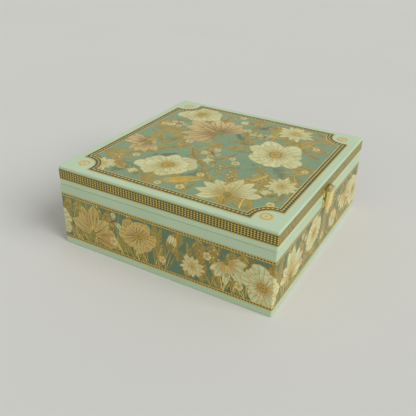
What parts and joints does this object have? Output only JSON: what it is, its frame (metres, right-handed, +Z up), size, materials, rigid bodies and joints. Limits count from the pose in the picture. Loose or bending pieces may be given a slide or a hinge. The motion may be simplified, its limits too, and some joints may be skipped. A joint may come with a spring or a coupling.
{
  "type": "sweet box",
  "caption": "Square wooden sweet box with a hinged lid, printed floral panels, woven band, compartments and a small brass hasp latch.",
  "frame": {"origin": "middle of the flat underside, on the surface that the box stands on", "axes": "+Z up; -Y is the front with the latch; the hinges are on +Y; +X is to the right seen from the front"},
  "size_m": [0.2546, 0.2667, 0.0957],
  "materials": {
    "mint_lacquer": "satin lacquer",
    "inside_flock": "short felt",
    "divider_board": "satin lacquer",
    "floral_print": "satin",
    "gold_ring": "satin",
    "woven_band": "satin",
    "brass": "polished",
    "brass_pin": "polished"
  },
  "bodies": {
    "base": {"base_front_wall": "mint_lacquer", "base_back_wall": "mint_lacquer", "base_left_wall": "mint_lacquer", "base_right_wall": "mint_lacquer", "base_floor": "mint_lacquer", "floor_lining": "inside_flock", "front_lining": "inside_flock", "back_lining": "inside_flock", "left_lining": "inside_flock", "right_lining": "inside_flock", "cross_divider_1": "divider_board", "cross_divider_2": "divider_board", "long_divider_1": "divider_board", "long_divider_2": "divider_board", "side_print": "floral_print", "latch_base_plate": "brass", "latch_catch": "brass", "latch_base_nails": "brass_pin", "hinge_base_leaf_left": "brass", "hinge_base_leaf_right": "brass", "hinge_pin_left": "brass_pin", "hinge_pin_right": "brass_pin", "hinge_base_screws": "brass_pin"},
    "lid": {"lid_top_panel": "mint_lacquer", "lid_front_rail": "mint_lacquer", "lid_back_rail": "mint_lacquer", "lid_left_rail": "mint_lacquer", "lid_right_rail": "mint_lacquer", "lid_lining": "inside_flock", "top_print": "floral_print", "corner_rings": "gold_ring", "lid_band": "woven_band", "latch_lid_plate": "brass", "latch_lid_nails": "brass_pin", "latch_pin": "brass_pin", "hinge_lid_leaf_left": "brass", "hinge_lid_leaf_right": "brass", "hinge_lid_screws": "brass_pin"},
    "hasp": {"latch_hasp": "brass"}
  },
  "joints": [
    {"name": "lid_swing", "type": "hinge", "parent": "base", "child": "lid", "pos_m": [0, 0.12945, 0.07415], "axis": [-1, 0, 0], "range_deg": [0, 105]},
    {"name": "hasp_swing", "type": "hinge", "parent": "lid", "child": "hasp", "pos_m": [-0.0014, -0.13015, 0.0849], "axis": [-1, 0, 0], "range_deg": [0, 110]}
  ]
}
